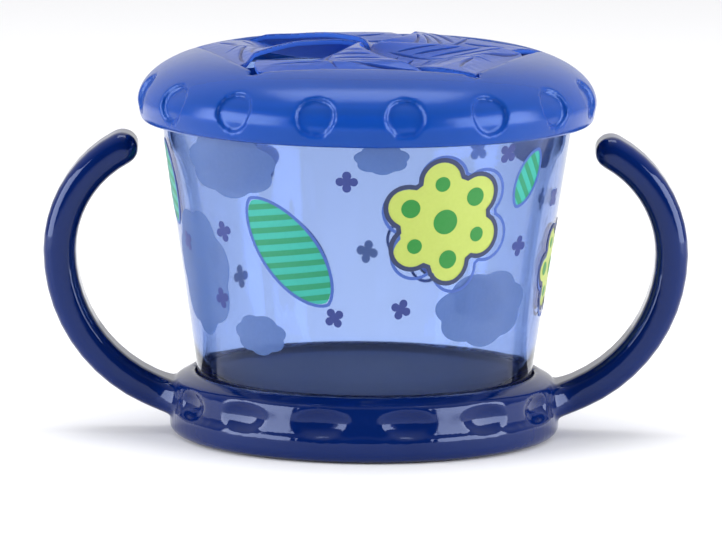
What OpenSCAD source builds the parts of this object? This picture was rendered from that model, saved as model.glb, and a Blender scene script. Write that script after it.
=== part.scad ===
// Toddler snack container: a clear tapered cup held in a two-handled base ring,
// closed by a soft press-on lid with five pinwheel flaps that a small hand pushes through.
// Millimetres, +Z up, front towards -Y, origin on the table under the middle of the cup.

/* [Base ring] */
// How far the base ring stands out from the cup's foot
ring_wall = 6.4; // [6:0.1:10]
// Height of the base ring
base_h = 13.7; // [12:0.1:18]
// Height of the plain band round the foot of the ring
band_h = 5.2; // [3.5:0.1:6.5]
// How far the wall above the band steps in
band_step = 0.6; // [0.2:0.1:1.2]
// How far the wall leans in towards its shoulder
wall_lean = 0.6; // [0:0.1:1]
// Radius of the rounded bottom edge
foot_round = 2; // [0.5:0.1:3]
// Radius of the rounded shoulder above the wall
shoulder_round = 1.2; // [0.6:0.1:2.5]
// Width of the flat lip round the cup
lip_w = 1; // [0.4:0.1:2]
// Height of the floor's underside above the table
floor_lift = 8.4; // [6:0.1:9]
// Thickness of the floor of the ring
floor_t = 2.2; // [1.2:0.1:4]
// Width of the flat edge that the ring stands on
foot_wall = 3; // [2:0.1:3.4]

/* [Base dimples] */
// Number of places for dimples round the ring, two of which the handles take
base_dimples = 14; // [10:2:14]
// Width of a dimple
dimple_w = 12.4; // [6:0.1:14]
// Height of a dimple
dimple_h = 6.2; // [3:0.1:7]
// Depth of a dimple
dimple_depth = 1.4; // [0.4:0.1:1.6]

/* [Handles] */
// Distance from the axis of the cup to the outermost point of a handle's middle line
handle_reach = 66.9; // [62:0.1:80]
// Height of that outermost point above the table
handle_z = 40; // [36:0.1:44]
// Thickness of a handle, seen from the front
handle_t = 7.2; // [5:0.1:9]
// Width of a handle, seen from the side
handle_w = 12.6; // [10:0.1:18]
// Radius of the handle's rounded edges
handle_round = 2.8; // [1:0.1:3.5]
// Radius of the middle line above the outermost point
upper_bend = 25.4; // [22:0.1:30]
// Radius of the middle line below the outermost point
lower_bend = 33.4; // [32:0.1:36]
// Angle at which the free tip ends
tip_angle = 62; // [40:1:70]
// Radius of the flare that spreads a handle's root over the ring
flare_r = 7; // [3:0.1:9]

/* [Cup] */
// Outside radius of the cup at its foot
cup_foot_r = 36.3; // [34:0.1:36.6]
// Outside radius of the cup at its mouth
cup_mouth_r = 46.1; // [44:0.1:48]
// Height of the cup
cup_h = 66.6; // [62:0.1:80]
// Thickness of the cup's wall
cup_wall = 1.8; // [1:0.1:2.5]
// Thickness of the cup's floor
cup_floor = 1.8; // [1.2:0.1:4]
// Depth of the shallow dish under the cup's floor
cup_dish = 0.8; // [0.3:0.1:1.5]
// How far the rim flange stands out from the cup
rim_flange = 0.5; // [0.2:0.1:1]
// Height of the snap bead round the cup's foot
snap_bead = 0.3; // [0.1:0.05:0.4]
// Clearance between the cup and the ring
cup_fit = 0.3; // [0.25:0.05:0.5]

/* [Lid] */
// Thickness of the lid over its shoulder
lid_t = 1.5; // [1:0.1:1.8]
// Thickness of the lid's side band, dimples not counted
lid_band_t = 3.1; // [2.4:0.1:4]
// Clearance between the lid and the cup's rim
lid_fit = 0.4; // [0.2:0.05:0.8]
// Height of the rounded shoulder, from the widest point to the crown
lid_shoulder_h = 11.7; // [10:0.1:14]
// How far the rounded shoulder reaches inwards
lid_shoulder_w = 22.1; // [18:0.1:24]
// Height of the skirt below the widest point
lid_skirt_h = 4.1; // [3:0.1:7]
// How far the skirt draws in at its lower edge
lid_skirt_in = 0.6; // [0:0.1:1.2]
// How far the widest point lies below the cup's rim
lid_belt_drop = 4.3; // [3.5:0.1:5]
// Turn of the lid on the cup, in degrees
lid_turn = -1.3; // [-10:0.1:10]

/* [Lid dimples] */
// Number of round dimples in the side band
lid_dimples = 16; // [8:1:18]
// Radius of a dimple
lid_dimple_r = 4.3; // [2.5:0.1:5]
// Depth of a dimple at its middle
lid_dimple_depth = 1; // [0.4:0.1:1.4]
// Height of the dimples' middles above the lid's widest point
lid_dimple_rise = 2.6; // [1:0.1:4]
// Tilt of the dimples' floors, in degrees
lid_dimple_tilt = 20; // [0:1:30]
// Angle of the first dimple from the front
lid_dimple_turn = 9.6; // [0:0.1:22]

/* [Flaps] */
// Distance from the middle of the lid to the end of each slit
flap_reach = 39.1; // [36:0.1:39.5]
// Thickness of a flap
flap_t = 1.2; // [1:0.1:2]
// How far each flap's leading edge arches up above the dome of the lid
flap_rise = 1.8; // [0.5:0.1:3]
// How far each flap's trailing edge dips under the next flap
flap_dip = 2.8; // [1:0.1:3.2]
// Width of the slits between flaps
slit_w = 0.8; // [0.5:0.1:1.5]
// Radius of the round hole that ends each slit
relief_r = 1.6; // [1.2:0.1:2.2]
// Radius at which the flaps' tips stop short of the middle
tip_r = 1.6; // [1.2:0.1:3]
// How far the flaps' roots lie below the crown of the lid
hinge_drop = 1.6; // [1.2:0.1:2]
// Distance in which a flap climbs from its root to the dome of the lid
root_ramp_w = 4.5; // [3:0.5:6]
// Gap behind the rounded root of each flap
hinge_gap = 0.25; // [0.15:0.05:0.5]
// How much further a raised edge keeps from the next flap, so that it clears it as it swings
swing_room = 1; // [0.8:0.1:2]
// Radius of the cove that leads from the shoulder down to each flap
cove_r = 4; // [3:0.5:8]

/* [Hidden] */
fine = 96;

// Cup
cup_slope = (cup_mouth_r - cup_foot_r) / cup_h;
flange_r = cup_mouth_r + rim_flange;
flange_top = 2;
flange_h = 1.8;
bead_z = 1.9;
bead_half = 0.7;
foot_edge = 1;
seat_gap = 0.1;
function cup_r(h) = cup_foot_r + cup_slope * h;

// Base ring
base_r = cup_foot_r + ring_wall;
wall_r = base_r - band_step;
hollow_r = base_r - foot_round - foot_wall;
seat_r = cup_foot_r + cup_fit;
dimple_z = (band_h + base_h) / 2 - 0.7;
dimple_pitch = 360 / base_dimples;

// Stack of heights
seat_z = floor_lift + floor_t;
rim_z = seat_z + seat_gap + cup_h;
belt_z = rim_z - lid_belt_drop;
crown_z = belt_z + lid_shoulder_h;
skirt_z = belt_z - lid_skirt_h;

lip_r = cup_r(base_h - seat_z) + cup_fit + lip_w;

// Handles
flare_x = base_r + 4.3;
lower_x = handle_reach - lower_bend;
upper_x = handle_reach - upper_bend;
function bend_angle(x) = -acos((x - lower_x) / lower_bend);
function flare_half(p) = handle_w / 2 + flare_r * (1 - cos(p));
root_depth = 1.6;
corner_steps = 4;

// Lid and flaps
lid_in = flange_r + lid_fit;
lid_r = lid_in + lid_band_t;
lid_bead = 0.25;
lid_bead_z = rim_z - flange_top - flange_h - 1.1;
half = 36;
flaps = 5;
swirl_r = flap_reach / (2 * cos(half));
hinge_x = flap_reach * cos(half);
hinge_top = crown_z - hinge_drop;
hinge_z = hinge_top - flap_t / 2;
opening_r = hinge_x + flap_t / 2 + hinge_gap;
flap_rows = 16;
flap_cols = 10;
root_trim = 0.2;
under_turn = 34;

function lid_r_at(t) = lid_r - lid_shoulder_w + lid_shoulder_w * sin(t);
function lid_z_at(t) = belt_z + lid_shoulder_h * cos(t);
function lid_n(t) = [sin(t) / lid_shoulder_w, cos(t) / lid_shoulder_h];
function lid_under(t) = [lid_r_at(t), lid_z_at(t)] - lid_t * lid_n(t) / norm(lid_n(t));

// A swirl line is a circle through the middle of the lid: its bearing at each radius,
// measured from the direction of the flap's root
function swirl(r) = -acos(r / (2 * swirl_r));
function slit_turn(r, gap) = gap / (r * sqrt(1 - pow(r / (2 * swirl_r), 2))) * 180 / PI;
flap_end = hinge_x / cos(half - slit_turn(flap_reach, slit_w / 2));
function row_r(i) = tip_r + (flap_end - tip_r) * i / flap_rows;
function row_t(i) = row_r(i) / flap_end;
function flap_side(r, a) = [r * cos(a), r * sin(a)];
function flap_low(i) = flap_side(row_r(i), swirl(row_r(i)) + slit_turn(row_r(i), slit_w / 2));
function flap_high(i) = flap_side(row_r(i), swirl(row_r(i)) + 2 * half
    - slit_turn(row_r(i), slit_w / 2 + swing_room * pow(row_t(i), 2)));
function flap_share(i, j) = (1 - root_trim * pow(row_t(i), 10)) * j / flap_cols;
// Share of the full rise that the raised edge has along its slit: quick from the middle, full
// to a third of the way, then a soft step down to a low shoulder that runs out at the root
function flap_arch(t) =
    let (fall = min(max((t - 0.38) / 0.35, 0), 1))
    (1 - pow(max(1 - t / 0.2, 0), 3)) * (1 - 0.6 * fall * fall * (3 - 2 * fall)) * (1 - pow(t, 14));
// Share of the full dip that the low edge has: deepest halfway, run out before the root
function flap_sag(t) =
    let (fall = min(max((t - 0.5) / 0.42, 0), 1))
    (0.55 + 0.45 * sin(90 * min(t / 0.6, 1))) * (1 - fall * fall * (3 - 2 * fall));
// Height of the dome, which a flap meets a little way in from its root
function dome_z(r) = r < lid_r - lid_shoulder_w ? crown_z
    : belt_z + lid_shoulder_h * sqrt(1 - pow((r - lid_r + lid_shoulder_w) / lid_shoulder_w, 2));
function flap_dome(x, y) =
    let (u = min(max((hinge_x - x) / root_ramp_w, 0), 1))
    hinge_z + (min(dome_z(norm([x, y])), crown_z) - hinge_top) * u * u * (3 - 2 * u);
function flap_plan(i, j) =
    let (s = flap_share(i, j)) flap_low(i) * (1 - s) + flap_high(i) * s;
function flap_point(i, j) =
    let (s = flap_share(i, j), p = flap_plan(i, j), root = flap_plan(flap_rows, j),
         x = p.x + (hinge_x - root.x) * pow(row_t(i), 8))
    [x, p.y, flap_dome(x, p.y) + flap_rise * flap_arch(row_t(i)) * pow(sin(90 * s), 2)
        - flap_dip * flap_sag(row_t(i)) * pow(cos(90 * s), 2)];

module ring_of(outline) {
    rotate_extrude($fn = fine) polygon(outline);
}

// ---------- base ring ----------
module ring_section() {
    difference() {
        union() {
            // foot band with its rounded bottom edge
            translate([base_r - foot_round, foot_round]) circle(r = foot_round, $fn = 48);
            translate([hollow_r, 0]) square([foot_wall, band_h]);
            translate([hollow_r, foot_round])
                square([base_r - hollow_r, band_h - foot_round]);
            // wall and sloped top
            translate([wall_r - wall_lean - shoulder_round, base_h - 1.3 - shoulder_round])
                circle(r = shoulder_round, $fn = 48);
            polygon([
                [0, floor_lift], [hollow_r - 1.5, floor_lift], [hollow_r, floor_lift - 1.5],
                [hollow_r, band_h - 1], [wall_r, band_h - 1], [wall_r, band_h],
                [wall_r - wall_lean, base_h - 1.3 - shoulder_round],
                [wall_r - wall_lean - shoulder_round + 0.5, base_h - 1.3 - 0.08],
                [lip_r, base_h], [lip_r - lip_w - 1, base_h],
                [0, base_h]]);
        }
        // seat for the cup, with the groove for its snap bead
        polygon([
            [0, seat_z], [seat_r, seat_z],
            [cup_r(bead_z - bead_half) + cup_fit, seat_z + bead_z - bead_half],
            [cup_r(bead_z) + cup_fit + snap_bead, seat_z + bead_z],
            [cup_r(bead_z + bead_half) + cup_fit, seat_z + bead_z + bead_half],
            [lip_r - lip_w, base_h], [lip_r - lip_w, base_h + 1],
            [0, base_h + 1]]);
    }
}

// Barrel that scoops one oval dimple out of the wall
module dimple_scoop() {
    scoop_r = (pow(dimple_h / 2, 2) + pow(dimple_depth, 2)) / (2 * dimple_depth);
    drop = dimple_depth - pow(dimple_w / 2, 2) / (2 * wall_r);
    arch_r = (pow(dimple_w / 2, 2) + pow(drop, 2)) / (2 * drop);
    translate([wall_r - wall_lean / 2 - dimple_depth + scoop_r, 0, dimple_z])
        rotate([90, 0, 0])
            rotate_extrude($fn = 64)
                intersection() {
                    translate([scoop_r - arch_r, 0]) circle(r = arch_r, $fn = 128);
                    translate([0, -dimple_w]) square([scoop_r, 2 * dimple_w]);
                }
}

// A handle is one row of rounded sections after another, from inside the ring along the
// lower bend and the upper bend to the rounded tip.
// Each row holds: middle x, middle z, lean, half thickness, half width, corner radius
function lower_row(a, w) =
    [lower_x + lower_bend * cos(a), handle_z + lower_bend * sin(a), a, handle_t / 2, w, handle_round];
function upper_row(a) =
    [upper_x + upper_bend * cos(a), handle_z + upper_bend * sin(a), a,
     handle_t / 2, handle_w / 2, handle_round];
function tip_row(p) =
    [upper_x + upper_bend * cos(tip_angle) - handle_t / 2 * sin(p) * sin(tip_angle),
     handle_z + upper_bend * sin(tip_angle) + handle_t / 2 * sin(p) * cos(tip_angle), tip_angle,
     handle_t / 2 * cos(p), handle_w / 2 - handle_round * (1 - cos(p)), handle_round * cos(p)];
handle_rows = concat(
    [lower_row(bend_angle(flare_x - flare_r - root_depth), handle_w / 2 + flare_r)],
    [for (p = [90 : -15 : 15]) lower_row(bend_angle(flare_x - flare_r * sin(p)), flare_half(p))],
    [for (i = [0 : 9]) lower_row(bend_angle(flare_x) * (1 - i / 10), handle_w / 2)],
    [for (i = [0 : 9]) upper_row(tip_angle * i / 9)],
    [for (p = [20 : 20 : 80]) tip_row(p)]);
function handle_loop(r) = [
    for (c = [0 : 3]) for (k = [0 : corner_steps])
        let (a = 90 * c + 90 * k / corner_steps,
             side = (c == 0 || c == 3) ? 1 : -1, face = (c < 2) ? 1 : -1,
             out = side * (r[3] - r[5]) + r[5] * cos(a))
        [r[0] + out * cos(r[2]), face * (r[4] - r[5]) + r[5] * sin(a), r[1] + out * sin(r[2])]];

module handle() {
    count = 4 * (corner_steps + 1);
    last = len(handle_rows) - 1;
    polyhedron(
        [for (r = handle_rows) each handle_loop(r)],
        [[for (k = [0 : count - 1]) k],
         for (i = [0 : last - 1]) for (k = [0 : count - 1])
             let (a = i * count + k, b = i * count + (k + 1) % count)
             each [[a, a + count, b], [b, a + count, b + count]],
         [for (k = [count - 1 : -1 : 0]) last * count + k]]);
}

module handle_base() {
    color("#1c2f78") {
        difference() {
            rotate_extrude($fn = fine) ring_section();
            for (k = [0 : base_dimples - 1])
                if (abs(cos(dimple_pitch * (k + 0.5) + 90)) < 0.98)
                    rotate([0, 0, dimple_pitch * (k + 0.5) + 90]) dimple_scoop();
        }
        handle();
        mirror([1, 0, 0]) handle();
    }
}

// ---------- cup ----------
module cup() {
    color([0.62, 0.66, 0.93, 0.45])
        translate([0, 0, seat_z + seat_gap])
            ring_of([
                [0, cup_dish], [cup_foot_r - 4, cup_dish], [cup_foot_r - 3, 0],
                [cup_foot_r - foot_edge, 0], [cup_foot_r - 0.3, 0.35],
                [cup_r(foot_edge), foot_edge],
                // snap bead that holds the ring on
                [cup_r(bead_z - bead_half), bead_z - bead_half],
                [cup_r(bead_z) + snap_bead, bead_z],
                [cup_r(bead_z + bead_half), bead_z + bead_half],
                // rim flange that the lid snaps over
                [cup_r(cup_h - flange_top - flange_h - 0.6), cup_h - flange_top - flange_h - 0.6],
                [flange_r, cup_h - flange_top - flange_h], [flange_r, cup_h - flange_top],
                [flange_r - 0.7, cup_h - 1.2], [cup_mouth_r - 1.2, cup_h - 0.3],
                [cup_mouth_r - cup_wall + 0.3, cup_h], [cup_mouth_r - cup_wall, cup_h - 0.3],
                [cup_r(cup_floor + 3.2) - cup_wall, cup_floor + 3.2],
                [cup_r(cup_floor + 1.2) - cup_wall - 0.5, cup_floor + 1.2],
                [cup_foot_r - cup_wall - 1.6, cup_floor + 0.3],
                [cup_foot_r - cup_wall - 3.2, cup_floor], [0, cup_floor]]);
}

// ---------- lid ----------
module lid_profile() {
    outer = [for (t = [0 : 3 : 90]) [lid_r_at(t), lid_z_at(t)]];
    under = [for (t = [66 : -4 : under_turn]) lid_under(t)];
    polygon(concat(
        outer,
        [[lid_r - lid_skirt_in, skirt_z + 0.9], [lid_r - lid_skirt_in - 0.3, skirt_z + 0.25],
         [lid_r - lid_skirt_in - 0.9, skirt_z], [lid_in + 0.7, skirt_z],
         [lid_in + 0.3, skirt_z + 0.4],
         // snap bead under the cup's flange
         [lid_in, lid_bead_z - 0.6], [lid_in - lid_bead, lid_bead_z],
         [lid_in, lid_bead_z + 0.6], [lid_in, rim_z - flange_top]],
        under,
        [[lid_r - lid_shoulder_w, lid_under(under_turn).y]]));
}

// Round pockets of even depth: their floors follow the dome
module lid_dimple_pockets() {
    core = [for (t = [30 : 5 : 90])
        [lid_r_at(t), lid_z_at(t)] - lid_dimple_depth * lid_n(t) / norm(lid_n(t))];
    mid = acos(lid_dimple_rise / lid_shoulder_h);
    difference() {
        for (k = [0 : lid_dimples - 1])
            rotate([0, 0, lid_dimple_turn - lid_turn - 90 + 360 / lid_dimples * k])
                translate([lid_r_at(mid), 0, lid_z_at(mid)])
                    rotate([0, 90 - lid_dimple_tilt, 0])
                        cylinder(r = lid_dimple_r, h = 5, center = true, $fn = 48);
        ring_of(concat([[0, crown_z]], core,
            [[lid_r - lid_skirt_in - lid_dimple_depth, skirt_z], [0, skirt_z]]));
    }
}

module flap_way() {
    intersection_for (k = [0 : flaps - 1])
        rotate([0, 0, 360 / flaps * k - 90])
            translate([opening_r - 200, -100, crown_z - 20]) cube([200, 200, 40]);
}

module lid() {
    color([0.16, 0.25, 0.72, 0.75])
        rotate([0, 0, lid_turn])
            difference() {
                rotate_extrude($fn = fine) lid_profile();
                flap_way();
                for (k = [0 : flaps - 1])
                    rotate([0, 0, 360 / flaps * k - 90]) {
                        rotate([0, 0, half])
                            translate([flap_reach, 0, crown_z - 10])
                                cylinder(r = relief_r, h = 20, $fn = 32);
                        translate([hinge_x, 0, hinge_top + cove_r])
                            rotate([90, 0, 0])
                                cylinder(r = cove_r, h = 2 * flap_reach, center = true, $fn = 96);
                    }
                lid_dimple_pockets();
            }
}

// ---------- flaps ----------
module flap(k) {
    cols = flap_cols + 1;
    count = (flap_rows + 1) * cols;
    lift = [0, 0, flap_t / 2];
    points = [
        for (i = [0 : flap_rows]) for (j = [0 : flap_cols]) flap_point(i, j) + lift,
        for (i = [0 : flap_rows]) for (j = [0 : flap_cols]) flap_point(i, j) - lift];
    edge = concat(
        [for (i = [0 : flap_rows - 1]) i * cols],
        [for (j = [0 : flap_cols - 1]) flap_rows * cols + j],
        [for (i = [flap_rows : -1 : 1]) i * cols + flap_cols],
        [for (j = [flap_cols : -1 : 1]) j]);
    faces = [
        for (i = [0 : flap_rows - 1]) for (j = [0 : flap_cols - 1])
            let (a = i * cols + j, b = a + cols)
            each [[a, a + 1, b], [a + 1, b + 1, b],
                  [count + a, count + b, count + a + 1],
                  [count + a + 1, count + b, count + b + 1]],
        for (e = [0 : len(edge) - 1])
            let (p = edge[e], q = edge[(e + 1) % len(edge)])
            each [[p, q, count + p], [q, count + q, count + p]]];
    low = flap_point(flap_rows, 0);
    high = flap_point(flap_rows, flap_cols);
    color([0.20, 0.29, 0.76, 0.8])
        rotate([0, 0, lid_turn + 360 / flaps * k - 90]) {
            polyhedron(points, faces);
            // rounded root that the flap turns on
            translate([hinge_x, high.y, hinge_z])
                rotate([90, 0, 0])
                    cylinder(d = flap_t, h = high.y - low.y, $fn = 24);
        }
}

module front_flap() {
    flap(0);
}

module right_flap() {
    flap(1);
}

module back_right_flap() {
    flap(2);
}

module back_left_flap() {
    flap(3);
}

module left_flap() {
    flap(4);
}

handle_base();
cup();
lid();
front_flap();
right_flap();
back_right_flap();
back_left_flap();
left_flap();
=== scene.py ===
"""Toddler snack container: clear tinted cup, glossy navy base with two handles, soft blue
press-on lid with five pinwheel flaps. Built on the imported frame, in metres."""
import math

import bpy
from mathutils import Matrix, Vector


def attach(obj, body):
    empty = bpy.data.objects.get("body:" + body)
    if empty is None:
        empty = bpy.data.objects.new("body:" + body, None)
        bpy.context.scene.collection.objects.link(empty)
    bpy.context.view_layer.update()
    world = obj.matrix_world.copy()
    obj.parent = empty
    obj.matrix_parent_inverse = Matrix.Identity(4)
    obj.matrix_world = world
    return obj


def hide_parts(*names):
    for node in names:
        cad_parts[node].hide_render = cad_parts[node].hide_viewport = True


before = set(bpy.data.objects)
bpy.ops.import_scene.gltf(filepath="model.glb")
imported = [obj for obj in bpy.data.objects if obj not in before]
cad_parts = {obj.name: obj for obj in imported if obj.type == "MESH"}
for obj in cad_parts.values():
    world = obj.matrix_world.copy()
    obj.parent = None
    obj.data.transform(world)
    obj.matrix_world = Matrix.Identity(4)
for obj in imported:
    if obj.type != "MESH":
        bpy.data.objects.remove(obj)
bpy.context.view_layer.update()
MM = 0.001
FLAPS = ("front_flap", "right_flap", "back_right_flap", "back_left_flap", "left_flap")
LID_TURN = -1.3


# ---------- colours and nodes ----------
def linear(hex_colour, alpha=1.0):
    """sRGB hex to the linear colour that a shader wants."""
    out = []
    for i in (1, 3, 5):
        c = int(hex_colour[i:i + 2], 16) / 255
        out.append(c / 12.92 if c <= 0.04045 else ((c + 0.055) / 1.055) ** 2.4)
    return (*out, alpha)


def add_node(tree, kind, settings=(), values=(), links=()):
    """One shader node with its settings, its socket values and what feeds its sockets."""
    node = tree.nodes.new(kind)
    for name, value in dict(settings).items():
        setattr(node, name, value)
    for name, value in dict(values).items():
        node.inputs[name].default_value = value
    for name, source in dict(links).items():
        tree.links.new(source, node.inputs[name])
    return node


def new_material(name):
    mat = bpy.data.materials.new(name)
    mat.use_nodes = True
    tree = mat.node_tree
    tree.nodes.clear()
    return mat, tree, add_node(tree, "ShaderNodeOutputMaterial")


def two_tints(tree, place, grain_mm, dark, light, detail=1.0):
    """A colour that drifts between two tints over patches of a real size."""
    drift = add_node(tree, "ShaderNodeTexNoise",
                     values={"Scale": 1 / (grain_mm * MM), "Detail": detail},
                     links={"Vector": place.outputs["Object"]})
    tint = add_node(tree, "ShaderNodeMix", {"data_type": "RGBA"},
                    links={"Factor": drift.outputs["Fac"]})
    tint.inputs[6].default_value = linear(dark)
    tint.inputs[7].default_value = linear(light)
    return drift, tint


# ---------- materials ----------
def navy_polypropylene():
    """Polypropylene, injection moulded in a polished tool: a deep navy with a wet gloss."""
    mat, tree, out = new_material("navy_polypropylene")
    place = add_node(tree, "ShaderNodeTexCoord")
    # flow waviness of a moulded skin, a soft swell every 12 mm
    swell, tint = two_tints(tree, place, 12, "#00144a", "#021b56")
    # handling haze, patches about 5 mm across, only in the gloss
    haze = add_node(tree, "ShaderNodeTexNoise", values={"Scale": 1 / 0.005, "Detail": 3.0},
                    links={"Vector": place.outputs["Object"]})
    rough = add_node(tree, "ShaderNodeMapRange",
                     values={"From Min": 0.3, "From Max": 0.7, "To Min": 0.05, "To Max": 0.11},
                     links={"Value": haze.outputs["Fac"]})
    bump = add_node(tree, "ShaderNodeBump", values={"Strength": 0.04, "Distance": 0.0003},
                    links={"Height": swell.outputs["Fac"]})
    skin = add_node(tree, "ShaderNodeBsdfPrincipled",
                    values={"IOR": 1.49, "Specular IOR Level": 0.46,
                            "Specular Tint": linear("#c6d6ff")},
                    links={"Base Color": tint.outputs[2], "Roughness": rough.outputs["Result"],
                           "Normal": bump.outputs["Normal"]})
    tree.links.new(skin.outputs["BSDF"], out.inputs["Surface"])
    return mat


def tinted_clear_plastic():
    """Clear polypropylene tinted in the mass, moulded: the longer the way through, the bluer."""
    mat, tree, out = new_material("tinted_clear_plastic")
    place = add_node(tree, "ShaderNodeTexCoord")
    # slight unevenness of the wall, a swell every 25 mm
    _, tint = two_tints(tree, place, 25, "#f3f5fd", "#fafbff")
    # the tool leaves the floor matt and polishes the walls, from about 3 mm above the foot up
    split = add_node(tree, "ShaderNodeSeparateXYZ", links={"Vector": place.outputs["Object"]})
    rough = add_node(tree, "ShaderNodeMapRange",
                     values={"From Min": 13.2 * MM, "From Max": 14.0 * MM, "To Min": 0.45,
                             "To Max": 0.04}, links={"Value": split.outputs["Z"]})
    clear = add_node(tree, "ShaderNodeBsdfPrincipled",
                     values={"IOR": 1.38, "Transmission Weight": 1.0, "Specular IOR Level": 0.3,
                             "Specular Tint": linear("#bccfff")},
                     links={"Base Color": tint.outputs[2], "Roughness": rough.outputs["Result"]})
    # light lost per metre in the tinted plastic: the 1.8 mm wall turns white to pale blue
    mass = add_node(tree, "ShaderNodeVolumeAbsorption",
                    values={"Color": (0.05, 0.30, 0.70, 1.0), "Density": 340.0})
    tree.links.new(clear.outputs["BSDF"], out.inputs["Surface"])
    tree.links.new(mass.outputs["Volume"], out.inputs["Volume"])
    return mat


def soft_blue_rubber(name, dark, light, shine, satin, groove_shade=""):
    """Thermoplastic rubber, translucent and satin: light enters it and glows in thin places."""
    mat, tree, out = new_material(name)
    place = add_node(tree, "ShaderNodeTexCoord")
    # cloudy depth of colour, patches about 15 mm across
    cloud, tint = two_tints(tree, place, 15, dark, light, 2.0)
    if groove_shade:
        # painted shade: the moulded veins are tinted darker than the skin beside them, for the
        # shade that gathers in them
        vein = add_node(tree, "ShaderNodeAttribute", {"attribute_name": "vein"})
        skin_tint = tint
        tint = add_node(tree, "ShaderNodeMix", {"data_type": "RGBA"},
                        links={"Factor": vein.outputs["Fac"]})
        tree.links.new(skin_tint.outputs[2], tint.inputs[6])
        tint.inputs[7].default_value = linear(groove_shade)
    # satin grain of the tool, drawn 0.5 mm coarse so that it shows
    grain = add_node(tree, "ShaderNodeTexNoise", values={"Scale": 1 / 0.0005, "Detail": 2.0},
                     links={"Vector": place.outputs["Object"]})
    bump = add_node(tree, "ShaderNodeBump", values={"Strength": 0.05, "Distance": 0.0001},
                    links={"Height": grain.outputs["Fac"]})
    rough = add_node(tree, "ShaderNodeMapRange", values={"To Min": satin, "To Max": satin + 0.1},
                     links={"Value": cloud.outputs["Fac"]})
    if groove_shade:
        # the underside comes off a blasted core and is matt; its brighter blue tint is painted
        # light, standing in for light let through the thin skin
        core = add_node(tree, "ShaderNodeAttribute", {"attribute_name": "underside_matt_and_glow"})
        veined = tint
        tint = add_node(tree, "ShaderNodeMix", {"data_type": "RGBA"},
                        links={"Factor": core.outputs["Fac"]})
        tree.links.new(veined.outputs[2], tint.inputs[6])
        tint.inputs[7].default_value = linear("#3f7cf0")
        upper = rough
        rough = add_node(tree, "ShaderNodeMapRange", values={"To Max": 0.75},
                         links={"Value": core.outputs["Fac"], "To Min": upper.outputs["Result"]})
    skin = add_node(tree, "ShaderNodeBsdfPrincipled",
                    values={"IOR": 1.5, "Transmission Weight": 0.5, "Specular IOR Level": shine,
                            "Specular Tint": linear("#a8c6ff")},
                    links={"Base Color": tint.outputs[2], "Roughness": rough.outputs["Result"],
                           "Normal": bump.outputs["Normal"]})
    tree.links.new(skin.outputs["BSDF"], out.inputs["Surface"])
    return mat


def printed_ink(name, dark, light, passes, see_through=0.0, glow=0.0):
    """Screen-printed ink on the cup: a thin, slightly speckled film that lets some light by."""
    mat, tree, out = new_material(name)
    place = add_node(tree, "ShaderNodeTexCoord")
    # ink mottle, specks about 0.8 mm across
    mottle, tint = two_tints(tree, place, 0.8, dark, light, 2.0)
    rough = add_node(tree, "ShaderNodeMapRange", values={"To Min": 0.35, "To Max": 0.5},
                     links={"Value": mottle.outputs["Fac"]})
    ink = add_node(tree, "ShaderNodeBsdfPrincipled",
                   values={"IOR": 1.45, "Transmission Weight": passes, "Alpha": 1.0 - see_through,
                           "Emission Color": linear(light), "Emission Strength": glow},
                   links={"Base Color": tint.outputs[2], "Roughness": rough.outputs["Result"]})
    tree.links.new(ink.outputs["BSDF"], out.inputs["Surface"])
    return mat


def pale_studio_floor():
    """Matt white studio board under the container."""
    mat, tree, out = new_material("pale_studio_floor")
    board = add_node(tree, "ShaderNodeBsdfPrincipled",
                     values={"Base Color": linear("#f8f8fa"), "Roughness": 0.7,
                             "Specular IOR Level": 0.2})
    tree.links.new(board.outputs["BSDF"], out.inputs["Surface"])
    return mat


# ---------- modelling helpers ----------
def deselect_all():
    if bpy.context.object and bpy.context.object.mode != "OBJECT":
        bpy.ops.object.mode_set(mode="OBJECT")
    bpy.ops.object.select_all(action="DESELECT")


def take(obj):
    deselect_all()
    obj.select_set(True)
    bpy.context.view_layer.objects.active = obj


def finish_with(obj, kind, **settings):
    """Add a modifier and apply it."""
    take(obj)
    bpy.ops.object.modifier_add(type=kind)
    mod = obj.modifiers[-1]
    for name, value in settings.items():
        setattr(mod, name, value)
    bpy.ops.object.modifier_apply(modifier=mod.name)


def wear(piece, mat, body, slot, *nodes):
    piece.data.materials.clear()
    piece.data.materials.append(mat)
    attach(piece, body)
    if nodes:
        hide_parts(*nodes)


def moulded_copy(node, name, skin_mm, soften):
    """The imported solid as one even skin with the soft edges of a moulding."""
    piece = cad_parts[node].copy()
    piece.data = piece.data.copy()
    piece.name = piece.data.name = name
    bpy.context.collection.objects.link(piece)
    take(piece)
    bpy.ops.object.mode_set(mode="EDIT")
    bpy.ops.mesh.select_all(action="SELECT")
    bpy.ops.mesh.remove_doubles(threshold=0.00001)
    bpy.ops.object.mode_set(mode="OBJECT")
    finish_with(piece, "REMESH", mode="VOXEL", voxel_size=skin_mm * MM, adaptivity=0.0)
    finish_with(piece, "SMOOTH", factor=0.5, iterations=soften)
    bpy.ops.object.shade_smooth()
    return piece


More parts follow.
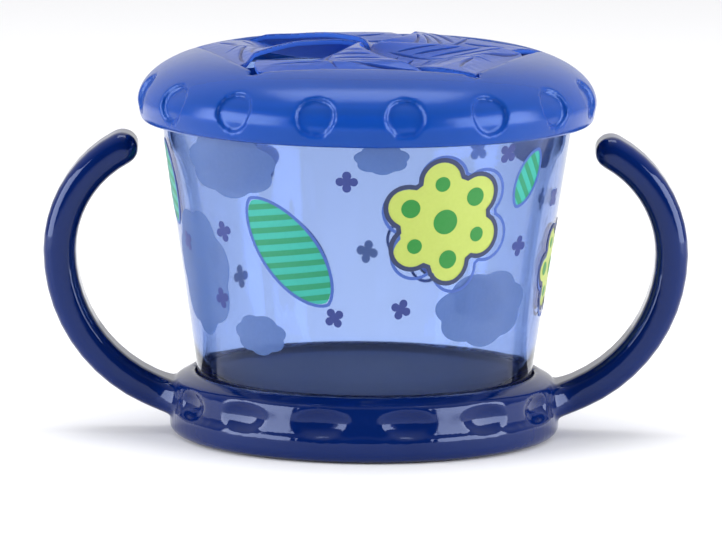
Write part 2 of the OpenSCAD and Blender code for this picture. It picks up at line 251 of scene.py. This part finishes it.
def turned(name, outline, steps):
    """A profile drawn point by point with extrudes, then spun round the cup's axis."""
    deselect_all()
    bpy.ops.mesh.primitive_plane_add(size=MM, location=(0, 0, 0))
    piece = bpy.context.object
    piece.name = piece.data.name = name
    bpy.ops.object.mode_set(mode="EDIT")
    bpy.ops.mesh.select_all(action="SELECT")
    bpy.ops.mesh.merge(type="CENTER")
    at = Vector((outline[0][0] * MM, 0, outline[0][1] * MM))
    bpy.ops.transform.translate(value=at)
    for r, z in outline[1:]:
        to = Vector((r * MM, 0, z * MM))
        bpy.ops.mesh.extrude_region_move(TRANSFORM_OT_translate={"value": to - at})
        at = to
    bpy.ops.mesh.select_all(action="SELECT")
    bpy.ops.mesh.spin(steps=steps, angle=2 * math.pi, center=(0, 0, 0), axis=(0, 0, 1))
    bpy.ops.mesh.select_all(action="SELECT")
    bpy.ops.mesh.remove_doubles(threshold=0.00001)
    bpy.ops.mesh.normals_make_consistent(inside=False)
    bpy.ops.object.mode_set(mode="OBJECT")
    bpy.ops.object.shade_smooth_by_angle(angle=math.radians(35))
    return piece


# ---------- cup ----------
CUP_FOOT_Z, CUP_FOOT_R, CUP_RISE, CUP_H, CUP_WALL = 10.7, 36.3, 9.8 / 66.6, 66.6, 1.8


def cup_r(h):
    return CUP_FOOT_R + CUP_RISE * h


def clear_cup(mat):
    outside = [(0, 0.8), (32.3, 0.8), (33.3, 0), (35.3, 0), (36.0, 0.35), (cup_r(1), 1),
               (cup_r(1.2), 1.2), (cup_r(1.9) + 0.3, 1.9), (cup_r(2.6), 2.6)]
    outside += [(cup_r(h), h) for h in range(5, 60, 5)]
    rim = [(cup_r(62.2), 62.2), (46.6, 62.8), (46.6, 64.6), (45.9, 65.4), (44.9, 66.3),
           (44.6, 66.6), (44.3, 66.3)]
    inside = [(cup_r(h) - CUP_WALL, h) for h in range(60, 5, -5)]
    inside += [(cup_r(5) - CUP_WALL, 5), (cup_r(3) - CUP_WALL - 0.5, 3), (32.9, 2.1), (31.3, 1.8),
               (0, 1.8)]
    outline = [(r, CUP_FOOT_Z + h) for r, h in outside + rim + inside]
    cup = turned("clear_cup", outline, 160)
    wear(cup, mat, "cup", "cup", "cup")


navy = navy_polypropylene()
clear = tinted_clear_plastic()
lid_rubber = soft_blue_rubber("soft_blue_rubber", "#0f4bac", "#1754b8", 0.42, 0.17)
# the last colour is painted shade for the vein grooves on the flaps
flap_rubber = soft_blue_rubber("soft_blue_rubber_thin", "#2452b2", "#2e5cbe", 0.4, 0.19, "#101f62")

base_piece = moulded_copy("handle_base", "navy_base", skin_mm=0.55, soften=3)
wear(base_piece, navy, "base", "base", "handle_base")
clear_cup(clear)
lid_piece = moulded_copy("lid", "soft_lid", skin_mm=0.5, soften=2)
wear(lid_piece, lid_rubber, "lid", "lid", "lid")


# ---------- flaps ----------
SLIT_REACH = 39.1
SWIRL_R = SLIT_REACH / (2 * math.cos(math.radians(36)))
VEIN_DEEP = 0.5
# veins of each flap, like a leaf's: a midrib with pairs of side veins that point outwards,
# each from (radius mm, share of the way across) to (radius, share)
VEINS = [((9.0, 0.55), (31.0, 0.55))]
for root in (10.5, 14.5, 18.5, 22.5, 26.5):
    VEINS += [((root, 0.60), (root + 6.5, 0.93)), ((root + 2.0, 0.50), (root + 8.0, 0.12))]


def vein_lines():
    """Each vein as short segments in the flap's own plan: hinge along +X, in mm."""
    lines = []
    for (r0, s0), (r1, s1) in VEINS:
        line = []
        for i in range(9):
            t = i / 8
            r, s = r0 + (r1 - r0) * t - 0.8 * math.sin(math.pi * t), s0 + (s1 - s0) * t
            bearing = -math.acos(min(1, r / (2 * SWIRL_R))) + math.radians(72) * s
            swelling = math.sin(math.pi * t) ** 0.5
            line.append((r * math.cos(bearing), r * math.sin(bearing), swelling))
        lines.append(line)
    return lines


def vein_depth(x, y, lines):
    """How much of the vein's full depth falls on a point of the flap, 0 to 1."""
    deepest = 0.0
    for line in lines:
        for (x0, y0, w0), (x1, y1, w1) in zip(line, line[1:]):
            dx, dy = x1 - x0, y1 - y0
            t = max(0.0, min(1.0, ((x - x0) * dx + (y - y0) * dy) / (dx * dx + dy * dy)))
            reach = 0.6 * (w0 + (w1 - w0) * t) + 0.05
            away = math.hypot(x - x0 - dx * t, y - y0 - dy * t)
            if away < reach:
                deepest = max(deepest, 0.5 + 0.5 * math.cos(math.pi * away / reach))
    return deepest


def veined_flap(index, mat):
    flap = FLAPS[index]
    piece = moulded_copy(flap, "soft_" + flap, skin_mm=0.2, soften=2)
    lines = vein_lines()
    turn = math.radians(-(LID_TURN + 72 * index - 90))
    group = piece.vertex_groups.new(name="veins")
    depths = [0.0] * len(piece.data.vertices)
    # the underside, which gets its matt finish and its painted glow
    underside_matt_and_glow = [1.0 if v.normal.z < 0.1 else 0.0 for v in piece.data.vertices]
    for v in piece.data.vertices:
        if v.normal.z > 0.3:
            x, y = v.co.x / MM, v.co.y / MM
            deep = vein_depth(x * math.cos(turn) - y * math.sin(turn),
                              x * math.sin(turn) + y * math.cos(turn), lines)
            if deep > 0.01:
                group.add([v.index], deep, "REPLACE")
                depths[v.index] = deep
    finish_with(piece, "DISPLACE", direction="Z", vertex_group="veins", strength=-VEIN_DEEP * MM,
                mid_level=0.0)
    piece.vertex_groups.clear()
    # these attributes say where the painted groove shade and the painted underside glow go
    for name, values in (("vein", depths), ("underside_matt_and_glow", underside_matt_and_glow)):
        piece.data.attributes.new(name, "FLOAT", "POINT").data.foreach_set("value", values)
    wear(piece, mat, flap, "flap", flap)


for number in range(5):
    veined_flap(number, flap_rubber)


# ---------- printed motifs on the cup ----------
PRINT_R = 41.5
STRIP = 1.25
# each layer's height over the wall, from the first ink down to the rims on top
FIRST, FILL, DETAIL, OUTLINE, RIM = 0.04, 0.07, 0.10, 0.13, 0.16
PETALS, PETAL_DEEP = 6, 0.30


def circle_points(radius, count=40):
    return [(radius * math.cos(2 * math.pi * i / count), radius * math.sin(2 * math.pi * i / count))
            for i in range(count)]


def blossom_points(radius, petals, depth, count=90):
    out = []
    for i in range(count):
        a = 2 * math.pi * i / count
        r = radius * (1 - depth + depth * abs(math.cos(petals * a / 2)) ** 0.7)
        out.append((r * math.sin(a), r * math.cos(a)))
    return out


def leaf_points(length, width, count=48):
    out = []
    for i in range(count):
        a = 2 * math.pi * i / count
        out.append((width / 2 * math.sin(a) * abs(math.sin(a)) ** 0.25, length / 2 * math.cos(a)))
    return out


def cloud_points(width, height, count=96):
    out = []
    for i in range(count):
        a = 2 * math.pi * i / count
        puff = 1 + 0.13 * abs(math.sin(3.5 * a + 0.6))
        out.append((width / 2 * math.cos(a) * puff, height / 2 * math.sin(a) * puff))
    return out


def placed(points, at, turn=0.0, scale=1.0):
    c, s = math.cos(math.radians(turn)), math.sin(math.radians(turn))
    return [(at[0] + scale * (x * c - y * s), at[1] + scale * (x * s + y * c)) for x, y in points]


def cut_shape(points, keep_between=()):
    """A flat sheet cut to an outline, then, if asked, trimmed to the band between two lines."""
    deselect_all()
    bpy.ops.mesh.primitive_circle_add(vertices=len(points), radius=MM, fill_type="NGON",
                                      location=(0, 0, 0))
    sheet = bpy.context.object
    for v, (x, y) in zip(sheet.data.vertices, points):
        v.co = (x * MM, y * MM, 0)
    bpy.ops.object.mode_set(mode="EDIT")
    for point, direction in keep_between:
        bpy.ops.mesh.select_all(action="SELECT")
        bpy.ops.mesh.bisect(plane_co=(point[0] * MM, point[1] * MM, 0),
                            plane_no=(direction[0], direction[1], 0), clear_outer=True)
    bpy.ops.object.mode_set(mode="OBJECT")
    return sheet


def hollow_line(points, thickness):
    """Only a line of the given thickness along an outline."""
    sheet = cut_shape(points)
    bpy.ops.object.mode_set(mode="EDIT")
    bpy.ops.mesh.select_all(action="SELECT")
    bpy.ops.mesh.inset(thickness=thickness * MM)
    bpy.ops.mesh.delete(type="FACE")
    bpy.ops.object.mode_set(mode="OBJECT")
    return sheet


def wrap_on_cup(sheet, lift):
    """Narrow strips let the flat sheet bend round the cup's taper, lifted by its layer."""
    take(sheet)
    bpy.ops.object.mode_set(mode="EDIT")
    low = min(v.co.x for v in sheet.data.vertices) / MM
    high = max(v.co.x for v in sheet.data.vertices) / MM
    for i in range(math.ceil(low / STRIP), math.floor(high / STRIP) + 1):
        bpy.ops.mesh.select_all(action="SELECT")
        bpy.ops.mesh.bisect(plane_co=(i * STRIP * MM, 0, 0), plane_no=(1, 0, 0))
    bpy.ops.object.mode_set(mode="OBJECT")
    for v in sheet.data.vertices:
        z = v.co.y / MM
        a = v.co.x / MM / PRINT_R
        r = cup_r(z - CUP_FOOT_Z) + lift
        v.co = (r * math.sin(a) * MM, -r * math.cos(a) * MM, z * MM)


def print_layer(name, sheets, mat, lift):
    for sheet in sheets:
        wrap_on_cup(sheet, lift)
    deselect_all()
    for sheet in sheets:
        sheet.select_set(True)
    bpy.context.view_layer.objects.active = sheets[0]
    bpy.ops.object.join()
    layer = bpy.context.object
    layer.name = layer.data.name = name
    finish_with(layer, "SOLIDIFY", thickness=0.02 * MM, offset=1.0)
    wear(layer, mat, "cup", "cup")


def blossom_outline(blossom, shift=(0, 0), turn=0, scale=1.0):
    at, r, t = blossom
    return placed(blossom_points(r, PETALS, PETAL_DEEP), (at[0] + shift[0], at[1] + shift[1]),
                  t + turn, scale)


def leaf_outline(leaf, scale=1.0):
    at, length, width, t = leaf
    return placed(leaf_points(length, width), at, t, scale)


def sprig_sheets(places, radius):
    return [cut_shape(placed(blossom_points(radius, 4, 0.55, 48), at, 17 * i))
            for i, at in enumerate(places)]


def printed_garden():
    """Blossoms, leaves and clouds, in the inks of a child's cup."""
    lime = printed_ink("ink_lime", "#c2d262", "#cbda6c", 0.45)
    green = printed_ink("ink_green", "#1a8c30", "#22963a", 0.4)
    teal = printed_ink("ink_teal", "#28b4a2", "#31bdac", 0.45)
    deep_teal = printed_ink("ink_deep_teal", "#0f9268", "#159b70", 0.4)
    line = printed_ink("ink_line", "#1d2b52", "#26355e", 0.15)
    blue = printed_ink("ink_blue", "#3b5fb4", "#466abc", 0.4)
    navy_ink = printed_ink("ink_navy", "#23347c", "#2b3e88", 0.25)
    haze = printed_ink("ink_haze", "#4269ac", "#4c73b6", 0.5, 0.3)
    # its glow stands in for daylight that reaches it through the clear wall
    under = printed_ink("ink_under", "#c0ccf0", "#ccd8fc", 0.2, glow=0.22)

    # each motif's middle: mm round the cup from the front, mm above the table
    clouds = [(-31, 63, 22, 13, 0), (29.5, 32, 24, 15, 0), (3, 66, 10, 6, 0), (-26, 26, 13, 8, 0),
              (-99, 55, 20, 12, 0), (84, 62, 20, 12, 0), (-45, 38, 21, 25, 0), (99, 25, 16, 9, 0)]
    far_sprigs = [(76, 50), (-86, 36), (104, 58), (128, 60), (-128, 60), (-96, 30), (130, 34)]
    print_layer("print_clouds",
                [cut_shape(placed(cloud_points(w, h), (x, z), t)) for x, z, w, h, t in clouds]
                + sprig_sheets(far_sprigs, 2.6), haze, FIRST)

    blossoms = [((17, 52), 13.5, 8), ((60, 38), 10, 30), ((113, 40), 10.5, 8)]
    leaves = [((-17, 45), 27, 13, 38), ((-58, 56), 18, 9, 15), ((-114, 34), 22, 10, -38),
              ((38, 60), 13, 7, -25)]
    # the first ink down: from inside, each motif shows as this blue
    print_layer("print_underbase",
                [cut_shape(blossom_outline(blossom)) for blossom in blossoms]
                + [cut_shape(leaf_outline(leaf)) for leaf in leaves], under, FIRST)
    print_layer("print_blossoms",
                [cut_shape(blossom_outline(blossom)) for blossom in blossoms], lime, FILL)
    dots = []
    for at, r, t in blossoms:
        dots.append(cut_shape(placed(circle_points(r * 0.20), at)))
        for i in range(PETALS):
            a = math.radians(360 / PETALS * i - t)
            spot = (at[0] + r * 0.62 * math.sin(a), at[1] + r * 0.62 * math.cos(a))
            dots.append(cut_shape(placed(circle_points(r * (0.15 if i % 2 else 0.12)), spot)))
    print_layer("print_dots", dots, green, DETAIL)
    print_layer("print_blossom_rims",
                [hollow_line(blossom_outline(blossom, scale=1.05), 1.0) for blossom in blossoms],
                line, RIM)
    # a looser second line, a little off the register
    print_layer("print_blossom_halos",
                [hollow_line(blossom_outline(blossom, (1.0, -0.6), 3, 1.14), 0.7)
                 for blossom in blossoms], blue, OUTLINE)

    print_layer("print_leaves", [cut_shape(leaf_outline(leaf)) for leaf in leaves], teal, FILL)
    stripes = []
    band, pitch = 1.2, 2.6
    for leaf in leaves:
        lean = math.radians(leaf[3] + 60)
        across = (math.cos(lean), math.sin(lean))
        outline = leaf_outline(leaf)
        reach = max(x * across[0] + y * across[1] for x, y in outline)
        step = min(x * across[0] + y * across[1] for x, y in outline) + 0.8
        while step + band < reach:
            low = (across[0] * step, across[1] * step)
            high = (across[0] * (step + band), across[1] * (step + band))
            stripes.append(cut_shape(outline, ((high, across), (low, (-across[0], -across[1])))))
            step += pitch
    print_layer("print_leaf_stripes", stripes, deep_teal, DETAIL)
    print_layer("print_leaf_rims",
                [hollow_line(leaf_outline(leaf, 1.07), 0.7) for leaf in leaves], blue, OUTLINE)

    sprigs = [(-4, 61), (-34, 48), (-7, 31), (31, 66), (8, 33), (38, 45), (-37, 33), (-50, 44),
              (52, 54)]
    print_layer("print_sprigs", sprig_sheets(sprigs, 2.3), navy_ink, DETAIL)


printed_garden()


# ---------- studio ----------
def softbox(name, place, aim, width, height, power):
    data = bpy.data.lights.new(name, "AREA")
    data.shape = "RECTANGLE"
    data.size = width
    data.size_y = height
    data.energy = power
    light = bpy.data.objects.new(name, data)
    bpy.context.collection.objects.link(light)
    light.location = place
    light.rotation_euler = (Vector(aim) - Vector(place)).to_track_quat("-Z", "Y").to_euler()


def studio():
    deselect_all()
    bpy.ops.mesh.primitive_plane_add(size=8, location=(0, 0, -0.0002))
    floor = bpy.context.object
    floor.name = "studio_floor"
    floor.data.materials.append(pale_studio_floor())

    side, front, high = 0.83, 0.35, 0.27
    softbox("softbox_left", (-side, -front, high), (0, 0, high), 0.8, 0.54, 10.6)
    softbox("softbox_right", (side, -front, high), (0, 0, high), 0.8, 0.54, 10.6)
    softbox("softbox_top", (0, 0.14, 1.15), (0, 0.14, 0), 0.9, 0.5, 6.0)

    # white overhead and behind, a darker room in front, plain white where the camera looks
    world = bpy.data.worlds.new("studio_air")
    bpy.context.scene.world = world
    world.use_nodes = True
    tree = world.node_tree
    way = add_node(tree, "ShaderNodeTexCoord")
    lean = add_node(tree, "ShaderNodeVectorMath", {"operation": "DOT_PRODUCT"},
                    links={0: way.outputs["Generated"]})
    lean.inputs[1].default_value = (0, 0.75, 1)
    depth = add_node(tree, "ShaderNodeMapRange", {"interpolation_type": "SMOOTHSTEP"},
                     {"From Min": -0.2, "From Max": 0.9, "To Min": 0.08, "To Max": 0.85},
                     {"Value": lean.outputs["Value"]})
    path = add_node(tree, "ShaderNodeLightPath")
    glow = add_node(tree, "ShaderNodeMath", {"operation": "MAXIMUM"},
                    links={0: depth.outputs["Result"], 1: path.outputs["Is Camera Ray"]})
    tree.links.new(glow.outputs["Value"], tree.nodes["Background"].inputs["Strength"])
    tree.nodes["Background"].inputs["Color"].default_value = linear("#ffffff")
    bpy.context.scene.view_settings.view_transform = "Standard"


def camera():
    lens_mm, distance, tilt, roll = 341.4, 1.5, math.radians(8.56), math.radians(0.55)
    data = bpy.data.cameras.new("camera")
    data.lens = lens_mm
    data.sensor_width = 36
    data.clip_start, data.clip_end = 0.05, 20
    cam = bpy.data.objects.new("camera", data)
    bpy.context.collection.objects.link(cam)
    place = Vector((-0.001, -distance * math.cos(tilt), 0.0354 + distance * math.sin(tilt)))
    cam.matrix_world = (Matrix.Translation(place)
                        @ Matrix.Rotation(math.pi / 2 - tilt, 4, "X")
                        @ Matrix.Rotation(roll, 4, "Z"))
    bpy.context.scene.camera = cam


studio()
camera()
